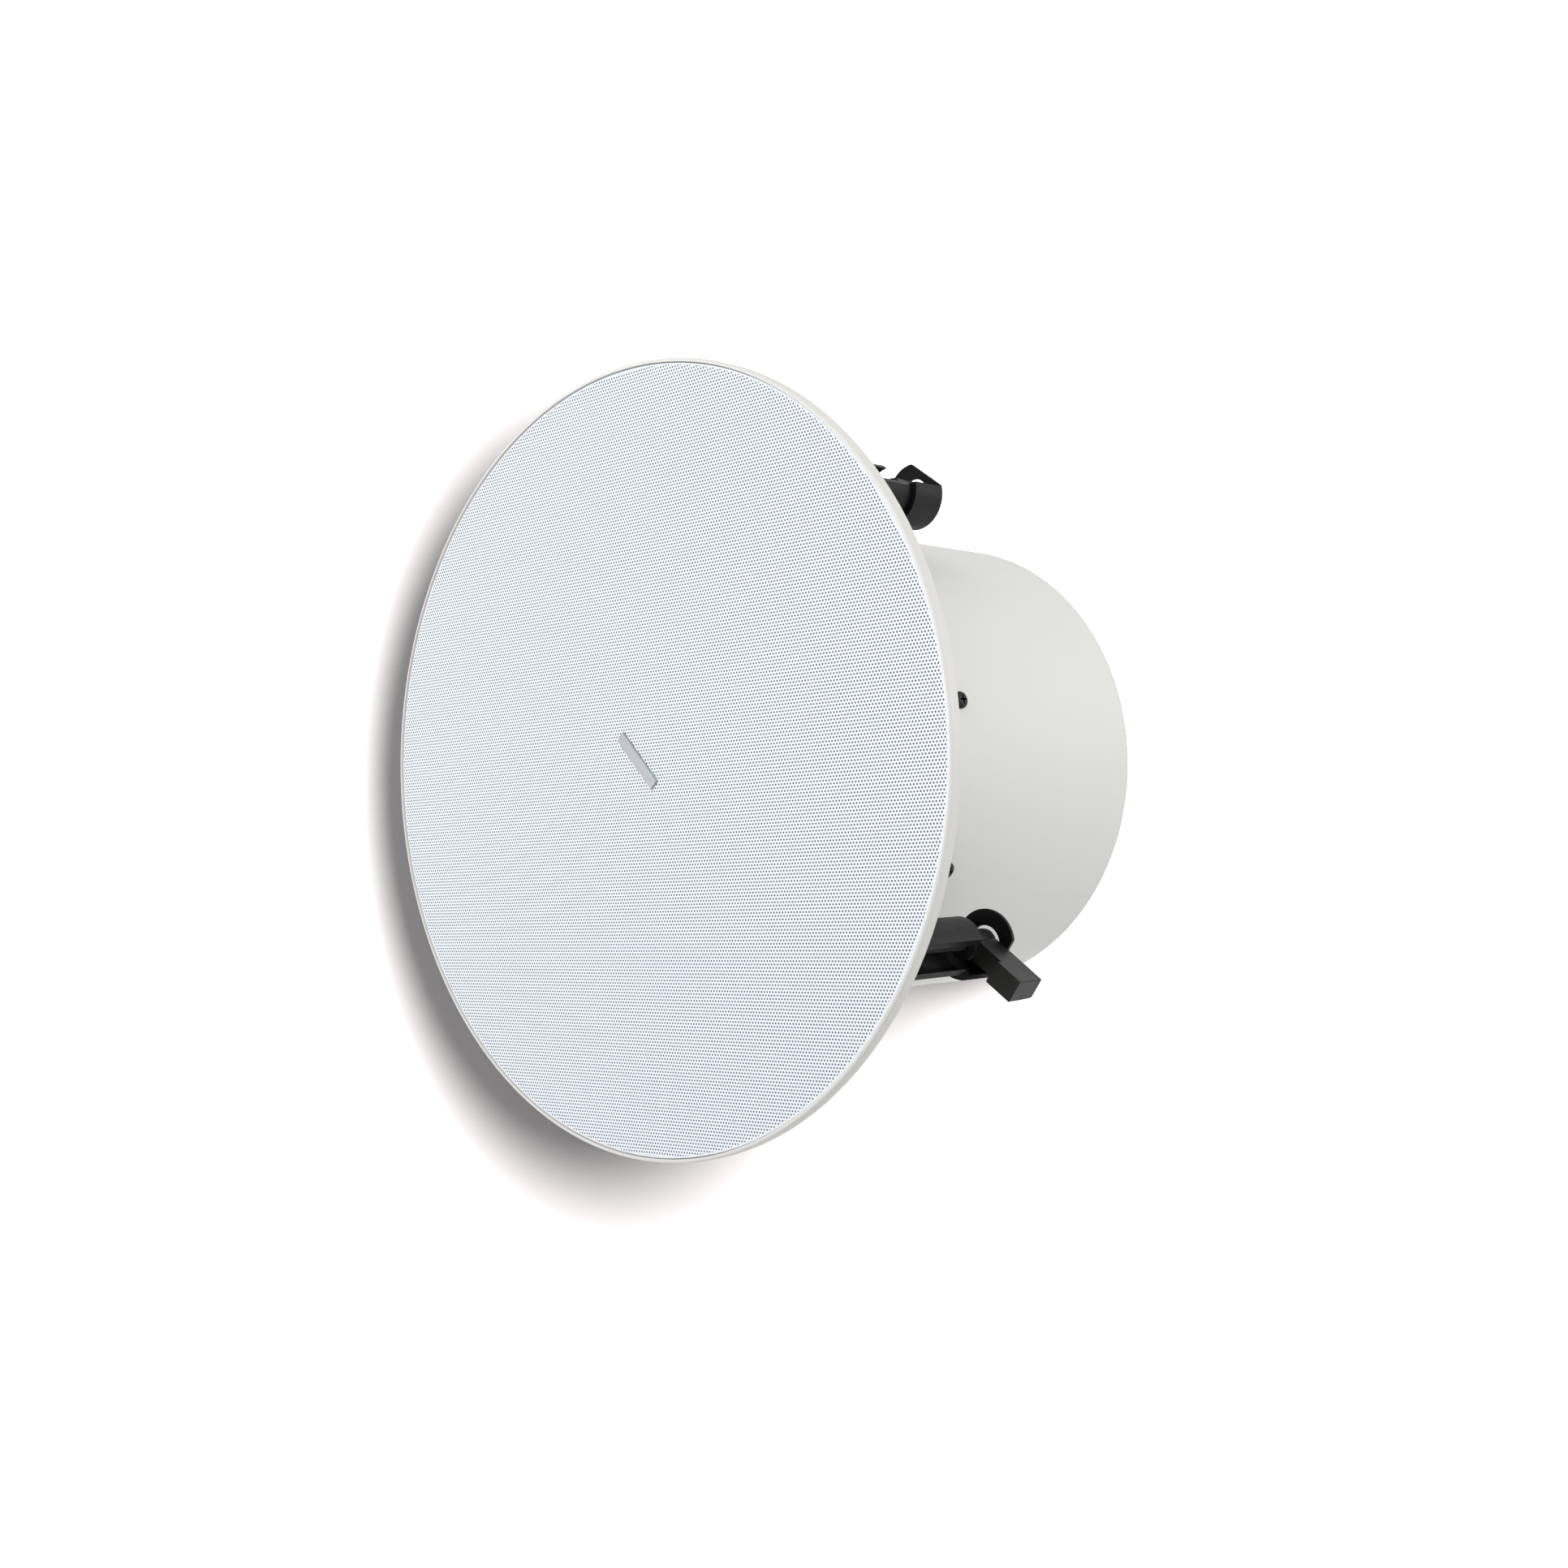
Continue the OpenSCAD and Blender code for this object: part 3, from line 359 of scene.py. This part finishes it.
def make_bezel():
    """The moulding with a narrower lip and a thinner flange round the grille's groove."""
    made = copied("bezel_moulding", "bezel")
    for vertex in made.data.vertices:
        radius = math.hypot(vertex.co.x, vertex.co.y) / MM
        depth = vertex.co.z / MM
        if LIP_WALL_FROM < radius < LIP_WALL_TO and depth < FLANGE_BACK - SAME_DEPTH:
            share = (radius + LIP_CUT) / radius
            vertex.co.x *= share
            vertex.co.y *= share
        if radius > FLANGE_FROM and abs(depth - FLANGE_BACK) < SAME_DEPTH:
            vertex.co.z -= FLANGE_CUT * MM
        if radius > LIP_WALL_FROM and abs(depth - GROOVE_END) < SAME_DEPTH:
            vertex.co.z -= FLANGE_CUT * MM
    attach(made, "root")
    return made


def make_grille():
    """Thin sheet with a rolled edge and a turned-in skirt, in the place of the CAD grille."""
    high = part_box("grille")[1]
    outer = high.y / MM + LIP_CUT
    front = GRILLE_FRONT
    back = high.z / MM - FLANGE_CUT
    sheet = GRILLE_SHEET
    edge = GRILLE_EDGE_R
    rim = [(outer - edge + edge * math.sin(a), front + edge - edge * math.cos(a))
           for a in [math.radians(15 * i) for i in range(7)]]
    rings = [outer * share for share in (0.002, 0.25, 0.5, 0.75, 0.95)]
    profile = [(r, front) for r in rings] + rim + [(outer, back), (outer - sheet, back)]
    profile += [(outer - sheet, front + sheet)] + [(r, front + sheet) for r in reversed(rings)]
    made = lathe("grille_sheet", profile, 360)
    smooth(made)
    dress(made, pierced_sheet(outer))
    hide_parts("grille")
    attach(made, "root")


def make_suspension(name, node, shader, inner, outer):
    """Surround or spider: its inner edge follows the cone and its outer edge stays on the frame."""
    made = copied(name, node)
    dress(made, shader)
    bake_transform(made, "cone_body", "root", (inner * MM, 0, 0), (outer * MM, 0, 0))
    weights = made.data.attributes["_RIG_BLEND"]
    for vertex, weight in zip(made.data.vertices, weights.data):
        radius = math.hypot(vertex.co.x, vertex.co.y) / MM
        share = min(1, max(0, (radius - inner) / (outer - inner)))
        weight.value = share * share * (3 - 2 * share)


def make_thread(index, shader, body):
    """Clamp screw with a pan head and a right-hand thread along its shank."""
    low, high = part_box(f"clamp_screw_{index}")
    centre = (low + high) / 2
    around = THREAD_AROUND
    per_turn = len(THREAD_SHAPE)
    start = low.z / MM
    head_end = start + HEAD_LENGTH
    tip = high.z / MM
    rows = int((tip - head_end) / LEAD * per_turn)
    verts = []
    for row in range(rows + 1):
        depth = head_end + (tip - head_end) * row / rows
        taper = min(1, (tip - depth) / 1.6 + 0.35)
        for step in range(around):
            turn = (depth - head_end) / LEAD - step / around
            phase = turn % 1 * per_turn
            first = int(phase) % per_turn
            mix = phase - int(phase)
            cut = THREAD_SHAPE[first] * (1 - mix) + THREAD_SHAPE[(first + 1) % per_turn] * mix
            radius = (THREAD_R - THREAD_DEPTH * cut) * taper
            a = 2 * math.pi * step / around
            verts.append((centre.x + radius * math.cos(a) * MM, centre.y + radius * math.sin(a) * MM, depth * MM))
    faces = [(row * around + step, row * around + (step + 1) % around,
              (row + 1) * around + (step + 1) % around, (row + 1) * around + step)
             for row in range(rows) for step in range(around)]
    faces.append(tuple(reversed(range(around))))
    faces.append(tuple(rows * around + step for step in range(around)))
    mesh = bpy.data.meshes.new(f"thread_{index}")
    mesh.from_pydata(verts, [], faces)
    mesh.update()
    shank = bpy.data.objects.new(f"screw_thread_{index}", mesh)
    bpy.context.scene.collection.objects.link(shank)
    smooth(shank, 40)
    recess = [(0.01, start + 0.9), (0.9, start + 0.9), (1.1, start)]
    dome = [(2.8, start), (4.1, start + 0.7), (HEAD_R, start + 1.8), (HEAD_R, head_end), (0.01, head_end)]
    head = lathe(f"screw_head_{index}", recess + dome, 48, closed=False)
    head.location = (centre.x, centre.y, 0)
    smooth(head)
    for made in (shank, head):
        dress(made, shader)
        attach(made, body)
    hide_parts(f"clamp_screw_{index}")


def make_materials():
    white = paint("white_plastic", srgb(229, 227, 222), 0.38, 700)
    can = paint("can_paint", srgb(231, 230, 226), 0.5, 1100, 0.00005)
    black = paint("black_plastic", srgb(15, 16, 18), 0.42, 800, 0.00005, 0.2, 0.2)
    nylon = paint("clamp_plastic", srgb(34, 34, 33), 0.38, 500, 0.00006, 0.25, 0.35)
    badge = metal("badge_metal", srgb(174, 176, 180), 0.32, (1, 14, 14), 500, -BADGE_ANGLE)
    zinc = metal("zinc", srgb(200, 200, 196), 0.35)
    black_steel = paint("black_steel", srgb(17, 17, 18), 0.45, 600, specular=0.25)
    foam = fibres("foam", srgb(38, 38, 38), 1500)
    rubber = paint("rubber", srgb(34, 34, 35), 0.7, 400, 0.0001, 0.2)
    ferrite = paint("ferrite", srgb(70, 70, 74), 0.6, 900, 0.0001, 0.15)
    copper = metal("copper", srgb(196, 120, 70), 0.3, (1, 1, 30), 400)
    paper = fibres("paper", srgb(52, 52, 54), 700)
    cloth = weave("woven_cloth", srgb(196, 160, 90), 0.0009)
    mesh_cloth = weave("black_cloth", srgb(36, 37, 40), 0.0006)
    wadding = fibres("white_wadding", srgb(228, 226, 218), 260)
    brass = metal("brass", srgb(212, 180, 110), 0.3)
    core = metal("core_steel", srgb(120, 120, 126), 0.45, (1, 1, 60), 300)
    tape = paint("winding_tape", srgb(222, 200, 120), 0.3, 300)
    board = paint("board_green", srgb(30, 110, 60), 0.3, 500)
    film = paint("film_yellow", srgb(214, 160, 50), 0.25, 400)
    cement = fibres("cement", srgb(224, 220, 212), 900)
    ivory = paint("ivory_plastic", srgb(224, 220, 206), 0.45, 500)
    dress(make_bezel(), white)
    make_suspension("surround_edge", "surround", rubber, SURROUND_IN, SURROUND_OUT)
    make_suspension("spider_disc", "spider", cloth, SPIDER_IN, SPIDER_OUT)
    finish_node("grille_cloth", mesh_cloth)
    finish_node("badge_plate", badge, 0.12)
    finish_node("back_can", can)
    for i in range(1, 5):
        finish_node(f"clamp_tower_{i}", black, 0.25)
        finish_node(f"clamp_dog_{i}", nylon, 0.35)
        make_thread(i, black_steel, "clamp_screw_1_body" if i == 1 else f"clamp_{i}_body")
    for names, shader in (
            ("can_screws tower_screws front_plate pole_yoke tweeter_post transformer_bracket board_spacers "
             "board_screws cover_screws bracket_screw safety_bracket", zinc),
            ("frame_screws transformer_screws woofer_frame", black_steel),
            ("can_seal frame_seal trim_ring", foam),
            ("cable_grommet wire_grommet", rubber),
            ("magnet_ring tweeter_motor", ferrite),
            ("voice_coil inductor", copper),
            ("coil_former cone", paper),
            ("tweeter_dome", cloth),
            ("tweeter_housing tweeter_waveguide", black),
            ("tweeter_nut", brass),
            ("transformer_core", core),
            ("transformer_coil", tape),
            ("wadding", wadding),
            ("crossover_board", board),
            ("capacitor", film),
            ("resistor", cement),
            ("terminal_block", ivory)):
        for name in names.split():
            finish_node(name, shader)
    finish_node("terminal_cover", can, 0.3)


def area_light(name, place, target, size, power):
    """Round lamp of a size in metres and a power in watts, aimed at target."""
    data = bpy.data.lights.new(name, "AREA")
    data.shape = "DISK"
    data.size = size
    data.energy = power
    made = bpy.data.objects.new(name, data)
    made.location = place
    made.rotation_mode = "QUATERNION"
    made.rotation_quaternion = (target - place).to_track_quat("-Z", "Y")
    bpy.context.scene.collection.objects.link(made)
    return made


def stage_material(name, color, shown):
    """Pale surface seen only from its front; shown is what is added to it for the camera alone."""
    material = bpy.data.materials.new(name)
    material.use_nodes = True
    tree = material.node_tree
    tree.nodes.clear()
    out = tree.nodes.new("ShaderNodeOutputMaterial")
    diffuse = tree.nodes.new("ShaderNodeBsdfDiffuse")
    diffuse.inputs["Color"].default_value = (*color, 1)
    glow = tree.nodes.new("ShaderNodeEmission")
    path = tree.nodes.new("ShaderNodeLightPath")
    strength = tree.nodes.new("ShaderNodeMath")
    strength.operation = "MULTIPLY"
    strength.inputs[1].default_value = shown
    tree.links.new(path.outputs["Is Camera Ray"], strength.inputs[0])
    tree.links.new(strength.outputs[0], glow.inputs["Strength"])
    add = tree.nodes.new("ShaderNodeAddShader")
    tree.links.new(diffuse.outputs[0], add.inputs[0])
    tree.links.new(glow.outputs[0], add.inputs[1])
    clear = tree.nodes.new("ShaderNodeBsdfTransparent")
    side = tree.nodes.new("ShaderNodeNewGeometry")
    mix = tree.nodes.new("ShaderNodeMixShader")
    tree.links.new(side.outputs["Backfacing"], mix.inputs[0])
    tree.links.new(add.outputs[0], mix.inputs[1])
    tree.links.new(clear.outputs[0], mix.inputs[2])
    tree.links.new(mix.outputs[0], out.inputs[0])
    return material


def card(name, centre, normal, up, half, material):
    """Flat square whose front faces along normal."""
    side = up.cross(normal).normalized()
    top = normal.cross(side).normalized()
    corners = [centre + (side * a + top * b) * half for a, b in ((-1, -1), (1, -1), (1, 1), (-1, 1))]
    mesh = bpy.data.meshes.new(name)
    mesh.from_pydata([tuple(c) for c in corners], [], [(0, 1, 2, 3)])
    mesh.materials.append(material)
    made = bpy.data.objects.new(name, mesh)
    bpy.context.scene.collection.objects.link(made)
    made.visible_shadow = False
    made.visible_diffuse = False
    made.visible_glossy = False
    return made


def make_world():
    world = bpy.data.worlds.new("world")
    bpy.context.scene.world = world
    world.use_nodes = True
    tree = world.node_tree
    tree.nodes.clear()
    out = tree.nodes.new("ShaderNodeOutputWorld")
    path = tree.nodes.new("ShaderNodeLightPath")
    seen = tree.nodes.new("ShaderNodeMath")
    seen.operation = "MAXIMUM"
    mirrored = tree.nodes.new("ShaderNodeMath")
    mirrored.operation = "MAXIMUM"
    tree.links.new(path.outputs["Is Glossy Ray"], mirrored.inputs[0])
    tree.links.new(path.outputs["Is Transmission Ray"], mirrored.inputs[1])
    tree.links.new(path.outputs["Is Camera Ray"], seen.inputs[0])
    tree.links.new(mirrored.outputs[0], seen.inputs[1])
    light = tree.nodes.new("ShaderNodeBackground")
    light.inputs["Color"].default_value = SKY_TINT
    light.inputs["Strength"].default_value = SKY_LIGHT
    white = tree.nodes.new("ShaderNodeBackground")
    white.inputs["Color"].default_value = WHITE
    white.inputs["Strength"].default_value = 1.0
    mix = tree.nodes.new("ShaderNodeMixShader")
    tree.links.new(seen.outputs[0], mix.inputs[0])
    tree.links.new(light.outputs[0], mix.inputs[1])
    tree.links.new(white.outputs[0], mix.inputs[2])
    tree.links.new(mix.outputs[0], out.inputs[0])


def make_stage():
    """Floor under the lip, backdrop behind the object as the camera sees it, lamps and world."""
    right, up, forward = camera_axes()
    card("floor", Vector((0, 0, FLOOR_Z)), Vector((0, 0, 1)), Vector((0, 1, 0)), FLOOR_HALF,
         stage_material("floor_pale", srgb(236, 236, 238), FLOOR_SHOWN))
    card("backdrop", CAMERA_PLACE + forward * BACKDROP_AWAY, -forward, up, BACKDROP_HALF,
         stage_material("backdrop_pale", BACKDROP_COLOR, 0.0))
    make_world()
    area_light("key", AIM - forward * 1.1 + up * 0.8 - right * 0.5, AIM, 0.9, 5)
    area_light("left", AIM - forward * 0.6 - right * 1.1 + up * 0.1, AIM, 0.6, 6.2)
    area_light("side", AIM - forward * 0.4 + right * 1.3 + up * 0.4, AIM, 0.8, 6.5)
    area_light("top", AIM + Vector((-0.3, 0.4, 1.4)), AIM, 1.0, 10)


def drop_shadow_light():
    """Lamp that lights the backdrop alone and throws the object's shadow on it."""
    right, up, forward = camera_axes()
    target = CAMERA_PLACE + forward * BACKDROP_AWAY
    place = CAMERA_PLACE + right * 0.078 + up * 0.058 + forward * 0.19
    lamp = area_light("shadow", place, target, 0.25, 62)
    lamp.data.shape = "ELLIPSE"
    lamp.data.size_y = 0.18
    lit = bpy.data.collections.new("lit_by_shadow")
    bpy.context.scene.collection.children.link(lit)
    lit.objects.link(bpy.data.objects["backdrop"])
    lamp.light_linking.receiver_collection = lit


make_camera()
make_grille()
make_materials()
make_stage()
drop_shadow_light()
scene = bpy.context.scene
scene.view_settings.view_transform = "Standard"
